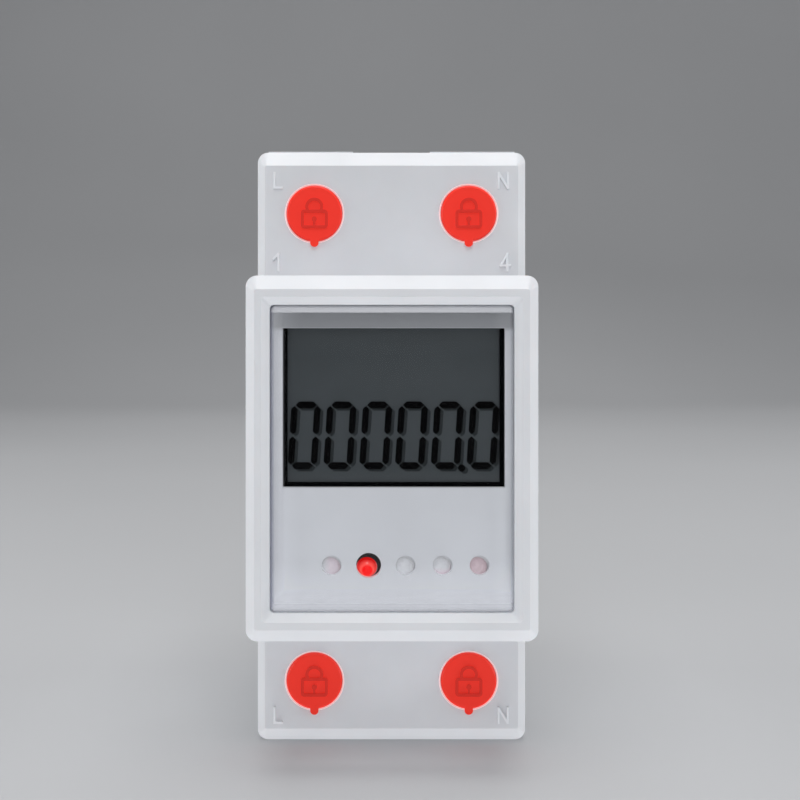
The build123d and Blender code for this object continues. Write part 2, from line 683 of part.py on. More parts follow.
with BuildPart() as varistor:
    with BuildSketch(Plane.XY.offset(v_z - VARISTOR_HALF)):
        with Locations((v_x, -v_depth)):
            Circle(VARISTOR_R)
    extrude(amount=2 * VARISTOR_HALF)
    fillet(varistor.edges().filter_by(GeomType.CIRCLE), VARISTOR_EDGE)
    for lead_x in VARISTOR_LEADS:
        disc(v_x + lead_x, v_z, LEAD_R, (BOARD_TOP, v_depth))
finish(varistor, "varistor")

with BuildPart() as battery_holder:
    slab(*HOLDER)
    for outer, inner in zip(HOLDER[0], widened(HOLDER[0], -HOLDER_ARM)):
        slab(tuple(sorted((outer, inner))), (HOLDER[1][0], HOLDER_TOP), HOLDER[2])
finish(battery_holder, "battery_holder")

with BuildPart() as clock_battery:
    disc(*BATTERY, BATTERY_R, (BATTERY_DEPTHS[0] + CLEARANCE, BATTERY_DEPTHS[1]))
    disc(*BATTERY, BATTERY_CAP_R, BATTERY_DEPTHS)
finish(clock_battery, "clock_battery")


def chip_legs(body, count):
    """Two rows of legs along the upper and lower edge of a chip's body."""
    width, reach = CHIP_LEG
    pitch = (body[0][1] - body[0][0]) / count
    for row in (body[2][0] - reach, body[2][1]):
        for index in range(count):
            leg_x = around(body[0][0] + pitch * (index + 0.5), width / 2)
            slab(leg_x, (BOARD_TOP, body[1][0] + width), (row, row + reach))


def chip_dot(body):
    """Shallow round mark at the first leg's corner."""
    radius, sink = CHIP_DOT
    dot_at = (body[0][0] + 2 * radius, body[2][1] - 2 * radius)
    disc(*dot_at, radius, (body[1][1] - sink, body[1][1]), Mode.SUBTRACT)


with BuildPart() as metering_chip:
    slab(*METERING)
    chip_dot(METERING)
    chip_legs(METERING, METERING_LEGS)
finish(metering_chip, "metering_chip")

with BuildPart() as controller_chip:
    slab(*CONTROLLER)
    chip_dot(CONTROLLER)
    chip_legs(CONTROLLER, CONTROLLER_LEGS)
finish(controller_chip, "controller_chip")

with BuildPart() as crystal:
    slab(*CRYSTAL)
    fillet(crystal.edges().filter_by(Axis.Y), CRYSTAL_R)
finish(crystal, "crystal")


# ================================================================ current path
def bar_x(side):
    """Span of a bar across, on the left or right."""
    return around(side * TERM_X, BAR_HALF)


with BuildPart() as line_in_bar:
    slab(bar_x(-1), BAR_DEPTHS, (SHUNT_Z[1], BAR_END_Z))
finish(line_in_bar, "line_in_bar")

with BuildPart() as current_shunt:
    slab(around(-TERM_X, SHUNT_HALF), SHUNT_DEPTHS, SHUNT_Z)
finish(current_shunt, "current_shunt")

with BuildPart() as relay_link_bar:
    slab(LINK[0], BAR_DEPTHS, LINK[1])
    slab(*LINK_LEG)
finish(relay_link_bar, "relay_link_bar")

with BuildPart() as line_out_bar:
    slab(bar_x(-1), BAR_DEPTHS, (-BAR_END_Z, OUT_TOP_Z))
    slab(*OUT_LEG)
finish(line_out_bar, "line_out_bar")

with BuildPart() as neutral_bar:
    slab(bar_x(1), BAR_DEPTHS, (-BAR_END_Z, BAR_END_Z))
finish(neutral_bar, "neutral_bar")


# ================================================================ cut-off relay
relay_floor = RELAY[1][0] + RELAY_WALL
inside_x, inside_z = (widened(span, -RELAY_WALL) for span in (RELAY[0], RELAY[2]))

with BuildPart() as relay_case:
    slab(*RELAY)
    slab(inside_x, (relay_floor, RELAY[1][1]), inside_z, Mode.SUBTRACT)
    boss_r, hole_r, boss_top = PIVOT_BOSS
    disc(*PIVOT, boss_r, (relay_floor, boss_top))
    disc(*PIVOT, hole_r, (relay_floor, boss_top), Mode.SUBTRACT)
finish(relay_case, "relay_case")

with BuildPart() as relay_cover:
    slab(*RELAY_LID)
    for leg in (LINK_LEG, OUT_LEG):
        slab(widened(leg[0], SLOT_PLAY), RELAY_LID[1], widened(leg[2], SLOT_PLAY), Mode.SUBTRACT)
    for wire_at in COIL_WIRES:
        disc(*wire_at, WIRE_HOLE_R, RELAY_LID[1], Mode.SUBTRACT)
finish(relay_cover, "relay_cover")

coil_centre = (COIL_X, -MECH_DEPTH)


def coil_round(radius, z_span, mode=Mode.ADD):
    """Round block about the coil's upright axis."""
    with Locations((*coil_centre, sum(z_span) / 2)):
        Cylinder(radius, z_span[1] - z_span[0], mode=mode)


with BuildPart() as relay_yoke:
    coil_round(ROD_R, (-POLE_Z[0], POLE_Z[0]))
    for end in (-1, 1):
        slab(*POLE, mirrored(POLE_Z, end))
finish(relay_yoke, "relay_yoke")

with BuildPart() as relay_bobbin:
    flange_r, flange_t = BOBBIN_FLANGE
    coil_round(BOBBIN_R, (-BOBBIN_HALF, BOBBIN_HALF))
    for end in (-1, 1):
        coil_round(flange_r, mirrored((BOBBIN_HALF - flange_t, BOBBIN_HALF), end))
    coil_round(ROD_R + BOBBIN_CLEAR, (-BOBBIN_HALF, BOBBIN_HALF), Mode.SUBTRACT)
finish(relay_bobbin, "relay_bobbin")

with BuildPart() as relay_coil:
    coil_z = (flange_t - BOBBIN_HALF, BOBBIN_HALF - flange_t)
    coil_round(COIL_R, coil_z)
    coil_round(BOBBIN_R, coil_z, Mode.SUBTRACT)
finish(relay_coil, "relay_coil")


def contact(radius, x_from, x_to):
    """Contact button facing sideways."""
    with BuildSketch(Plane.YZ.offset(x_from)) as button:
        with Locations((-MECH_DEPTH, CONTACT_Z)):
            Circle(radius)
    extrude(button.sketch, amount=x_to - x_from)


with BuildPart() as fixed_contact:
    contact(*FIXED_CONTACT)
finish(fixed_contact, "fixed_contact")

with BuildPart() as contact_blade:
    slab(*BLADE)
    contact(*MOVING_CONTACT)
finish(contact_blade, "contact_blade")

# The rocker stands tilted against its stop. Its sketches share one tilted plane.
tilt = math.radians(ROCKER_TILT)
tilted = Plane(
    origin=(PIVOT[0], -MECH_DEPTH, PIVOT[1]),
    x_dir=(math.cos(tilt), 0, math.sin(tilt)),
    z_dir=(0, -1, 0),
)

with BuildPart() as relay_armature:
    with BuildSketch(tilted):
        Rectangle(*ROCKER)
        with Locations((0, FINGER_Z)):
            Rectangle(*FINGER)
    extrude(amount=ROCKER_HALF_D, both=True)
    disc(*PIVOT, PIN_R, PIN_DEPTHS)
finish(relay_armature, "relay_armature")

with BuildPart() as armature_magnet:
    with BuildSketch(tilted):
        with Locations((-MAGNET_OFFSET, 0)):
            Rectangle(*MAGNET)
    extrude(amount=ROCKER_HALF_D, both=True)
finish(armature_magnet, "armature_magnet")

with BuildPart() as push_card:
    slab(*CARD)
    slab(*CARD_FORK, mode=Mode.SUBTRACT)
finish(push_card, "push_card")


# ================================================================ wires
def wire(x, z, start, stop):
    """Insulated wire rising through a hole, bowed a little sideways on its way."""
    with BuildLine() as path:
        middle = (start + stop) / 2 - WIRE_SAG
        ends = ((x, -start, z), (x, -stop, z))
        forward = (0, -1, 0)
        Spline(ends[0], (x + WIRE_BOW, -middle, z), ends[1], tangents=(forward, forward))
    with BuildSketch(Plane(origin=path.line @ 0, z_dir=path.line % 0)) as section:
        Circle(WIRE_R)
    sweep(section.sketch, path=path.line)


with BuildPart() as sense_wires:
    for wire_at in SENSE_WIRES:
        wire(*wire_at, BAR_DEPTHS[1], BOARD_TOP)
finish(sense_wires, "sense_wires")

with BuildPart() as coil_wires:
    for wire_at in COIL_WIRES:
        wire(*wire_at, COIL_WIRE_START, BOARD_TOP)
finish(coil_wires, "coil_wires")


# ================================================================ terminal clamps
def terminal_screw(x, z):
    """Captive clamp screw: slotted head, shank with a ring-cut thread."""
    with BuildPart() as screw:
        disc(x, z, HEAD_R, HEAD_DEPTHS)
        chamfer(screw.faces().sort_by(Axis.Y)[0].edges(), HEAD_EDGE)
        width, sink, cross = HEAD_SLOT
        recess = (HEAD_DEPTHS[1] - sink, HEAD_DEPTHS[1])
        slab(around(x, HEAD_R), recess, around(z, width / 2), Mode.SUBTRACT)
        slab(around(x, width / 2), recess, around(z, cross), Mode.SUBTRACT)
        disc(x, z, SCREW_CORE_R, SHANK_DEPTHS)
        crests = int((SHANK_DEPTHS[1] - SHANK_DEPTHS[0]) / SCREW_PITCH)
        for index in range(crests):
            crest = SHANK_DEPTHS[0] + SCREW_PITCH * (index + 0.5)
            disc(x, z, SCREW_R, (crest, crest + SCREW_PITCH / 2))
    return screw


def clamp_cage(x, z):
    """Lifting cage: thick threaded front wall, thin sides and back, open along Z."""
    with BuildPart() as cage:
        with BuildSketch(Plane.XY.offset(z - CAGE_HALF[1])):
            with Locations((x, -sum(CAGE_DEPTHS) / 2)):
                RectangleRounded(2 * CAGE_HALF[0], CAGE_DEPTHS[1] - CAGE_DEPTHS[0], CAGE_WALL)
        extrude(amount=2 * CAGE_HALF[1])
        hollow = (CAGE_DEPTHS[0] + CAGE_WALL, CAGE_DEPTHS[1] - CAGE_NUT)
        hollow_x = around(x, CAGE_HALF[0] - CAGE_WALL)
        slab(hollow_x, hollow, around(z, CAGE_HALF[1]), Mode.SUBTRACT)
        disc(x, z, CAGE_BORE_R, (hollow[1], CAGE_DEPTHS[1]), Mode.SUBTRACT)
    return cage


def seal_cap(x, z):
    """Seal cap: round disc with a pull tab, raised padlock sign and split hollow stem."""
    with BuildPart() as cap:
        disc(x, z, CAP_R, CAP_DEPTHS)
        chamfer(cap.faces().sort_by(Axis.Y)[0].edges(), CAP_EDGE)
        tab_depths = (SHOULDER, CAP_DEPTHS[1])
        slab(around(x, CAP_TAB_R), tab_depths, (z - CAP_TAB_REACH, z - CAP_R + CAP_TAB_R))
        disc(x, z - CAP_TAB_REACH, CAP_TAB_R, tab_depths)
        stem = (CAP_STEM_END, CAP_DEPTHS[0])
        disc(x, z, CAP_STEM_R, stem)
        disc(x, z, CAP_STEM_BORE_R, stem, Mode.SUBTRACT)
        split_depths = (stem[0], stem[1] - CAP_SPLIT)
        slab(around(x, CAP_SPLIT / 2), split_depths, around(z, CAP_STEM_R), Mode.SUBTRACT)
        with BuildSketch(level(CAP_DEPTHS[1])):
            with Locations((x, z + SHACKLE_RISE)):
                Circle(SHACKLE_R[1])
                Circle(SHACKLE_R[0], mode=Mode.SUBTRACT)
            with Locations((x, z - LOCK_DROP)):
                RectangleRounded(*LOCK_BODY, LOCK_R)
                inner = (LOCK_BODY[0] - 2 * LOCK_LINE, LOCK_BODY[1] - 2 * LOCK_LINE)
                Rectangle(*inner, mode=Mode.SUBTRACT)
                Circle(KEYHOLE_R)
                Rectangle(*KEYHOLE_SLOT, align=(Align.CENTER, Align.MAX))
        extrude(amount=EMBOSS)
    return cap


positions = (("1", -1, 1), ("2", 1, 1), ("3", -1, -1), ("4", 1, -1))
for number, side, end in positions:
    terminal_at = (side * TERM_X, end * TERM_Z)
    finish(terminal_screw(*terminal_at), f"terminal_screw_{number}")
    finish(clamp_cage(*terminal_at), f"clamp_cage_{number}")
    finish(seal_cap(*terminal_at), f"seal_cap_{number}")
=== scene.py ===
"""Looks for a two-module prepaid electricity meter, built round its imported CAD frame."""

import math

import bmesh
import bpy
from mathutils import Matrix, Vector


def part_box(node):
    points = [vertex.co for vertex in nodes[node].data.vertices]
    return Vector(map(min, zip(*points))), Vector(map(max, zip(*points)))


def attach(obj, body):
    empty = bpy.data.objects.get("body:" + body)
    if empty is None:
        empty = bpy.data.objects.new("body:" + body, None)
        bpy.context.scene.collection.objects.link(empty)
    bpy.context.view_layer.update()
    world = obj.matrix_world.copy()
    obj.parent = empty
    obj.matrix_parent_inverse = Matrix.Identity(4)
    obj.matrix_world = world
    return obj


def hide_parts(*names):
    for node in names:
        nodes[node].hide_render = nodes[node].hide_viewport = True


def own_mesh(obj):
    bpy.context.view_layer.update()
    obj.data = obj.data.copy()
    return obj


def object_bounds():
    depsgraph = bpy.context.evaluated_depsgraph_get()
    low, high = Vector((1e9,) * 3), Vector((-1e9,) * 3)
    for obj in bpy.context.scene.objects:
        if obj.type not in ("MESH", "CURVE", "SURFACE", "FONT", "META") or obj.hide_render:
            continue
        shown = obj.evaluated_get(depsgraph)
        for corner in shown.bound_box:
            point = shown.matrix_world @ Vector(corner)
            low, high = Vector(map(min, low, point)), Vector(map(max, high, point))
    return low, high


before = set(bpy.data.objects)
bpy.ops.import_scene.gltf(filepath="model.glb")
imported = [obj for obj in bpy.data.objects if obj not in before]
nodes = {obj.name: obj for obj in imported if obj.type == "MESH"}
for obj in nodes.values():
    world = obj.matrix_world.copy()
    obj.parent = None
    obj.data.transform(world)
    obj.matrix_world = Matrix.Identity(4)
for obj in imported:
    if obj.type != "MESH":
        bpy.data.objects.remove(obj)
cad_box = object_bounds()

MM = 0.001
ROOT = "meter"

# ------------------------------------------------------------------ display
DIGITS = 6
DIGIT_HEIGHT = 8.5 * MM
DIGIT_WIDTH = 3.7 * MM
DIGIT_PITCH = 4.485 * MM
DIGIT_BAR = 0.88 * MM
DIGIT_POST = 0.82 * MM
DIGIT_LEAN = math.radians(3.7)
DIGIT_GAP = 0.12 * MM
DIGIT_LEFT = -13.12 * MM
DIGIT_FOOT = -1.7 * MM
DOT_X = 8.75 * MM
DOT_Z = -1.55 * MM
DOT_R = 0.46 * MM
SHADOW_SHIFT = (0.36 * MM, -0.27 * MM)
DOT_STEPS = 24
PRINT_LIFT = 0.03 * MM
PRINT_THICK = 0.03 * MM

# ------------------------------------------------------------------ places on the case
CAP_AT = (10.3 * MM, 31.2 * MM)
CAP_RIM = (3.72 * MM, 3.98 * MM)
RIM_DEPTH = 43.7 * MM
MARK_DEPTH = 44.08 * MM
SIGN_DEPTH = 44.45 * MM
NOSE_HALF = 23.0 * MM
OPENING = (14.8 * MM, 18.7 * MM)
PANE_SIDE = 14.68 * MM
PANE_PAINTED_BAND_Z = 17.95 * MM
PANEL_SHADE = (15.6 * MM, 16.2 * MM, 18.0 * MM, 18.2 * MM)
LCD_PAINTED_LIGHT_Z = (-1.4 * MM, 12.4 * MM)
LAMP_ROW_Z = -13.5 * MM
LAMP_X = (-7.5 * MM, -2.9 * MM, 1.7 * MM, 6.3 * MM, 10.9 * MM)
LAMP_DROP = (-0.24 * MM, -0.45 * MM)
LAMP_FIRST = -7.7 * MM
LAMP_FOURTH = 4.0 * MM
LAMP_FIFTH = 8.5 * MM
LIT_LAMP = 1
RED_CORE = (-3.1 * MM, -14.25 * MM)
RED_CORE_R = (0.6 * MM, 0.72 * MM)
RED_HALO_R = (0.85 * MM, 1.35 * MM)
RED_SHADE_DEPTH = 55.9 * MM
COLLAR_R = (1.34 * MM, 2.1 * MM)
COLLAR_THICK = 0.4 * MM
COLLAR_STEPS = 48

# ------------------------------------------------------------------ painted light and shade, and the lit lamp's own glow
PANE_PAINTED_LIGHT = {"above": 0.55, "foot": 0.35, "side": 0.22}
PANE_PAINTED_REACH = {"foot": 2.4 * MM, "side": 1.6 * MM}
PANEL_PAINTED_LIGHT = {"left": 0.1, "right": 0.1, "foot": 0.22}
PANEL_PAINTED_REACH = {"left": 3.4 * MM, "right": 2.4 * MM, "foot": 5.6 * MM}
PANEL_SHADE_TONE = 0.52
RED_GLOW = (0.76, 0.86)
CLEAR_PAINTED_GLOW = 0.63
CAP_PAINTED_GLOW = (0.18, 0.09)
RIM_HIGHLIGHT_GLOW, MARK_HIGHLIGHT_GLOW = 0.25, 0.03
HIGHLIGHT_TONE, SIGN_SHADE_TONE = 1.15, 0.8

# ------------------------------------------------------------------ marks on bare metal
SCRATCH_MM = 0.25
SCRATCH_DEPTH_MM = 0.004
METAL_EDGE_MM = 0.08

# ------------------------------------------------------------------ camera and light
CAMERA_AT = (-0.7 * MM, -243.5 * MM, 17.6 * MM)
CAMERA_LENS = 67.2
CAMERA_SHIFT = {"shift_x": 0.0171, "shift_y": -0.1058}
HOME_TOLERANCE = 0.5 * MM
FLOOR_HALF = 3.0
FLOOR_DROP = 0.02 * MM
BACKDROP_Y = 1.2
BACKDROP_TOP = 2.5
BACKDROP_BEND = 0.5
BEND_STEPS = 16
WORLD_LIGHT = 0.22


def srgb(red, green, blue):
    """Linear colour from 8-bit display values."""

    def channel(value):
        value /= 255
        return value / 12.92 if value <= 0.04045 else ((value + 0.055) / 1.055) ** 2.4

    return (channel(red), channel(green), channel(blue), 1.0)


# ================================================================== materials
class Look:
    """A node material with a Principled shader, and short calls for adding nodes to it."""

    def __init__(self, name):
        self.material = bpy.data.materials.new(name)
        self.material.use_nodes = True
        self.tree = self.material.node_tree
        self.shader = self.tree.nodes["Principled BSDF"]
        self.output = self.tree.nodes["Material Output"]
        self.place = self.add("ShaderNodeTexCoord").outputs["Object"]

    def add(self, kind, **settings):
        node = self.tree.nodes.new(kind)
        for key, value in settings.items():
            setattr(node, key, value)
        return node

    def join(self, source, target):
        self.tree.links.new(source, target)

    def noise(self, size_mm, detail=3.0, stretch=(1, 1, 1)):
        """Noise whose features are about this large; stretch above 1 draws them finer along an axis."""
        mapping = self.add("ShaderNodeMapping")
        mapping.inputs["Scale"].default_value = stretch
        self.join(self.place, mapping.inputs["Vector"])
        node = self.add("ShaderNodeTexNoise")
        node.inputs["Scale"].default_value = 1 / (size_mm * MM)
        node.inputs["Detail"].default_value = detail
        self.join(mapping.outputs["Vector"], node.inputs["Vector"])
        return node.outputs["Fac"]

    def between(self, factor, low, high, start=0.3, stop=0.7):
        """Number from low to high as the factor goes from start to stop."""
        node = self.add("ShaderNodeMapRange")
        node.inputs["From Min"].default_value = start
        node.inputs["From Max"].default_value = stop
        node.inputs["To Min"].default_value = low
        node.inputs["To Max"].default_value = high
        self.join(factor, node.inputs["Value"])
        return node.outputs["Result"]

    def mix(self, factor, first, second):
        """Colour between two colours, each given as a value or as a socket."""
        node = self.add("ShaderNodeMix", data_type="RGBA")
        self.join(factor, node.inputs["Factor"])
        for slot, value in ((6, first), (7, second)):
            if isinstance(value, bpy.types.NodeSocket):
                self.join(value, node.inputs[slot])
            else:
                node.inputs[slot].default_value = value
        return node.outputs[2]

    def axis(self, letter):
        """One coordinate of the point being shaded, in metres."""
        node = self.add("ShaderNodeSeparateXYZ")
        self.join(self.place, node.inputs["Vector"])
        return node.outputs[letter]

    def maths(self, operation, first, second=0.0):
        node = self.add("ShaderNodeMath", operation=operation)
        for slot, value in enumerate((first, second)):
            if isinstance(value, bpy.types.NodeSocket):
                self.join(value, node.inputs[slot])
            else:
                node.inputs[slot].default_value = value
        return node.outputs[0]

    def base(self):
        """Whatever colour feeds the shader so far."""
        return self.shader.inputs["Base Color"].links[0].from_socket

    def reach(self, across, along, centre):
        """Distance of a pair of coordinates from a centre."""
        beside = self.maths("SUBTRACT", across, centre[0])
        above = self.maths("SUBTRACT", along, centre[1])
        squares = self.maths("ADD", self.maths("POWER", beside, 2.0), self.maths("POWER", above, 2.0))
        return self.maths("SQRT", squares)

    def set(self, **values):
        """Plain values for shader inputs, with spaces in their names written as _."""
        for key, value in values.items():
            self.shader.inputs[key.replace("_", " ")].default_value = value

    def wear(self, **sources):
        """Sockets that feed shader inputs, with spaces in their names written as _."""
        for key, source in sources.items():
            self.join(source, self.shader.inputs[key.replace("_", " ")])

    def bump(self, heights, edge_mm):
        """Relief from (height, depth in mm) pairs over softly rounded edges."""
        last = None
        if edge_mm:
            bevel = self.add("ShaderNodeBevel", samples=4)
            bevel.inputs["Radius"].default_value = edge_mm * MM
            last = bevel.outputs["Normal"]
        for height, depth in heights:
            node = self.add("ShaderNodeBump")
            node.inputs["Distance"].default_value = depth * MM
            self.join(height, node.inputs["Height"])
            if last is not None:
                self.join(last, node.inputs["Normal"])
            last = node.outputs["Normal"]
        if last is not None:
            self.join(last, self.shader.inputs["Normal"])


def scaled(colour, amount):
    return tuple(min(1.0, channel * amount) for channel in colour[:3]) + (1.0,)


def plastic(
    name,
    colour,
    rough=0.45,
    grain_mm=0.12,
    depth_mm=0.006,
    mottle=0.03,
    edge_mm=0.15,
    sheen=0.5,
    glow=0.0,
):
    """Moulded plastic: faint cloudy colour, fine texture, rounded edges."""
    look = Look(name)
    cloud = look.between(look.noise(9.0, 4.0), 0, 1)
    look.wear(Base_Color=look.mix(cloud, scaled(colour, 1 - mottle), scaled(colour, 1 + mottle)))
    grain = look.noise(grain_mm, 2.0)
    smear = look.noise(4.0, 5.0, (1, 1, 0.35))
    look.wear(Roughness=look.between(smear, rough - 0.05, rough + 0.06))
    look.set(Specular_IOR_Level=sheen)
    if glow:
        look.set(Subsurface_Weight=glow, Subsurface_Radius=(1.0, 0.6, 0.5), Subsurface_Scale=0.6 * MM)
    look.bump([(grain, depth_mm)], edge_mm)
    return look


def metal(name, colour, rough=0.3, stretch=(1, 1, 1), stain=0.12):
    """Bare or plated metal: drawn or brushed marks, slight staining."""
    look = Look(name)
    stainy = look.between(look.noise(2.5, 5.0), 0, 1)
    look.wear(Base_Color=look.mix(stainy, scaled(colour, 1 - stain), colour))
    look.set(Metallic=1.0)
    marks = look.noise(SCRATCH_MM, 4.0, stretch)
    look.wear(Roughness=look.between(marks, rough - 0.08, rough + 0.12))
    look.bump([(marks, SCRATCH_DEPTH_MM)], METAL_EDGE_MM)
    return look


def wound(name, colour, rough, axis, pitch_mm, depth_mm, metallic=0.0):
    """Close turns of wire or tape round an axis."""
    look = Look(name)
    half_turn = look.maths("MULTIPLY", look.axis(axis), math.pi / (pitch_mm * MM))
    ridge = look.maths("ABSOLUTE", look.maths("SINE", half_turn))
    cloud = look.noise(1.2, 3.0)
    # Darker between turns: painted shade in the grooves of coils and tape; on the zebra strip these bands
    # are its own layers.
    look.wear(Base_Color=look.mix(ridge, scaled(colour, 0.45), colour))
    look.wear(Roughness=look.between(cloud, rough - 0.08, rough + 0.08))
    look.set(Metallic=metallic)
    look.bump([(ridge, depth_mm)], 0)
    return look


def board(name, ground, track_tint):
    """Circuit board: solder mask with slightly raised tracks."""
    look = Look(name)
    cells = look.add("ShaderNodeTexBrick")
    for key, value in (("Scale", 1 / (7.0 * MM)), ("Mortar Size", 0.04), ("Mortar Smooth", 0.1)):
        cells.inputs[key].default_value = value
    turned = look.add("ShaderNodeMapping")
    turned.inputs["Rotation"].default_value = (math.pi / 2, 0, 0)
    look.join(look.place, turned.inputs["Vector"])
    look.join(turned.outputs["Vector"], cells.inputs["Vector"])
    track = cells.outputs["Fac"]
    weave = look.noise(0.3, 2.0)
    look.wear(Base_Color=look.mix(track, ground, track_tint), Roughness=look.between(weave, 0.25, 0.42))
    look.set(Coat_Weight=0.4)
    look.bump([(track, 0.03), (weave, 0.004)], 0.05)
    return look


def window_pane():
    """Clear sheet that lets light and shadow through, with a faint mirror sheen; its pale diffuse top band
    is a painted highlight, and its paler foot and left strip are painted light.
    """
    look = Look("clear_pane")
    clear = look.add("ShaderNodeBsdfTransparent")
    gloss = look.add("ShaderNodeBsdfGlossy")
    smear = look.noise(14.0, 5.0)
    look.join(look.between(smear, 0.02, 0.06), gloss.inputs["Roughness"])
    fresnel = look.add("ShaderNodeFresnel")
    fresnel.inputs["IOR"].default_value = 1.12
    bevel = look.add("ShaderNodeBevel", samples=4)
    bevel.inputs["Radius"].default_value = 0.1 * MM
    look.join(bevel.outputs["Normal"], gloss.inputs["Normal"])
    blend = look.add("ShaderNodeMixShader")
    look.join(fresnel.outputs["Fac"], blend.inputs[0])
    # Painted shade: darker tints at the left and right edges of the sheet stand for the shade line of the
    # side walls.
    x = look.axis("X")
    left = look.maths("LESS_THAN", x, -PANE_SIDE)
    right = look.maths("GREATER_THAN", x, PANE_SIDE + 0.05 * MM)
    edge = look.mix(left, (0.975, 0.98, 0.985, 1), (0.72, 0.73, 0.80, 1))
    look.join(look.mix(right, edge, (0.88, 0.89, 0.91, 1)), clear.inputs["Color"])
    look.join(clear.outputs[0], blend.inputs[1])
    look.join(gloss.outputs[0], blend.inputs[2])
    # Painted light: a pale diffuse band high on the sheet, and fading pale strips at its foot and left
    # edge.
    painted_band = look.add("ShaderNodeBsdfDiffuse")
    painted_band.inputs["Color"].default_value = (0.84, 0.85, 0.89, 1)
    rim = look.add("ShaderNodeMixShader")
    height = look.axis("Z")
    above = look.maths("MULTIPLY", look.maths("GREATER_THAN", height, PANE_PAINTED_BAND_Z), PANE_PAINTED_LIGHT["above"])
    foot = look.between(height, PANE_PAINTED_LIGHT["foot"], 0, -OPENING[1], -OPENING[1] + PANE_PAINTED_REACH["foot"])
    side = look.between(x, PANE_PAINTED_LIGHT["side"], 0, -OPENING[0], -OPENING[0] + PANE_PAINTED_REACH["side"])
    look.join(look.maths("MAXIMUM", above, look.maths("MAXIMUM", foot, side)), rim.inputs[0])
    look.join(blend.outputs[0], rim.inputs[1])
    look.join(painted_band.outputs[0], rim.inputs[2])
    look.join(rim.outputs[0], look.output.inputs["Surface"])
    return look


def panel_look(colour):
    """Smooth white panel: painted grey shade above the display, painted light near the left, right and
    lower edges of the opening.
    """
    look = plastic("panel_plastic", colour, 0.5, grain_mm=0.2, depth_mm=0.003, edge_mm=0.06)
    height = look.axis("Z")
    # Painted shade: a grey band above the display, where the top of the frame casts its shadow.
    rise = look.between(height, 0, 1, PANEL_SHADE[0], PANEL_SHADE[1])
    shade = look.maths("MULTIPLY", rise, look.between(height, 1, 0, PANEL_SHADE[2], PANEL_SHADE[3]))
    look.wear(Base_Color=look.mix(shade, look.base(), scaled(colour, PANEL_SHADE_TONE)))
    x = look.axis("X")
    left = look.between(x, PANEL_PAINTED_LIGHT["left"], 0, -OPENING[0], -OPENING[0] + PANEL_PAINTED_REACH["left"])
    right = look.between(x, 0, PANEL_PAINTED_LIGHT["right"], OPENING[0] - PANEL_PAINTED_REACH["right"], OPENING[0])
    foot = look.between(height, PANEL_PAINTED_LIGHT["foot"], 0, -OPENING[1], -OPENING[1] + PANEL_PAINTED_REACH["foot"])
    # Painted light: a faint glow near the left, right and lower edges, where the recess shades the panel.
    look.set(Emission_Color=(0.95, 0.96, 1.0, 1))
    look.wear(Emission_Strength=look.maths("ADD", look.maths("ADD", left, right), foot))
    return look


def lamp_red():
    """Red lamp, lit: saturated core low on the left, paler round it; the body behind the dome is painted
    black as shade.
    """
    look = Look("lamp_red_lit")
    cloud = look.noise(0.8, 2.0)
    reach = look.reach(look.axis("X"), look.axis("Z"), RED_CORE)
    core = look.between(reach, 1, 0, *RED_CORE_R)
    outer = look.between(reach, 0, 1, *RED_HALO_R)
    halo = look.mix(outer, srgb(252, 88, 80), srgb(206, 10, 12))
    # Painted shade: the body behind the dome is black and does not glow.
    sleeve = look.maths("GREATER_THAN", look.axis("Y"), -RED_SHADE_DEPTH)
    look.wear(Base_Color=look.mix(sleeve, scaled(srgb(216, 14, 16), 0.5), (0.002, 0.002, 0.002, 1)))
    look.wear(Emission_Color=look.mix(core, halo, srgb(252, 6, 4)))
    lit = look.maths("MULTIPLY", look.between(cloud, *RED_GLOW), look.maths("SUBTRACT", 1.0, sleeve))
    look.wear(Emission_Strength=lit)
    look.set(Roughness=0.15)
    return look


def lamp_clear():
    """Unlit lamps, milky like the panel, with a painted glow; the outer two and the foot of the fourth are
    a little pink.
    """
    look = Look("lamp_clear")
    x, z = look.axis("X"), look.axis("Z")
    tint = look.mix(look.between(look.noise(0.6, 2.0), 0, 1), srgb(180, 181, 184), srgb(185, 186, 189))
    pink_half = look.between(x, 0, 1, LAMP_FIRST - 0.8 * MM, LAMP_FIRST)
    tint = look.mix(look.maths("LESS_THAN", x, 0.0), tint, look.mix(pink_half, tint, srgb(184, 175, 181)))
    fourth = look.maths("GREATER_THAN", x, LAMP_FOURTH)
    foot = look.between(z, 1.0, 0.0, -14.9 * MM, -13.9 * MM)
    tint = look.mix(look.maths("MULTIPLY", fourth, foot), tint, srgb(189, 173, 181))
    tint = look.mix(look.maths("GREATER_THAN", x, LAMP_FIFTH), tint, srgb(176, 160, 165))
    cloud = look.noise(0.6, 2.0)
    look.wear(Base_Color=tint, Emission_Color=tint, Roughness=look.between(cloud, 0.2, 0.35))
    # Painted light: the unlit lamps glow faintly.
    look.set(Emission_Strength=CLEAR_PAINTED_GLOW)
    return look


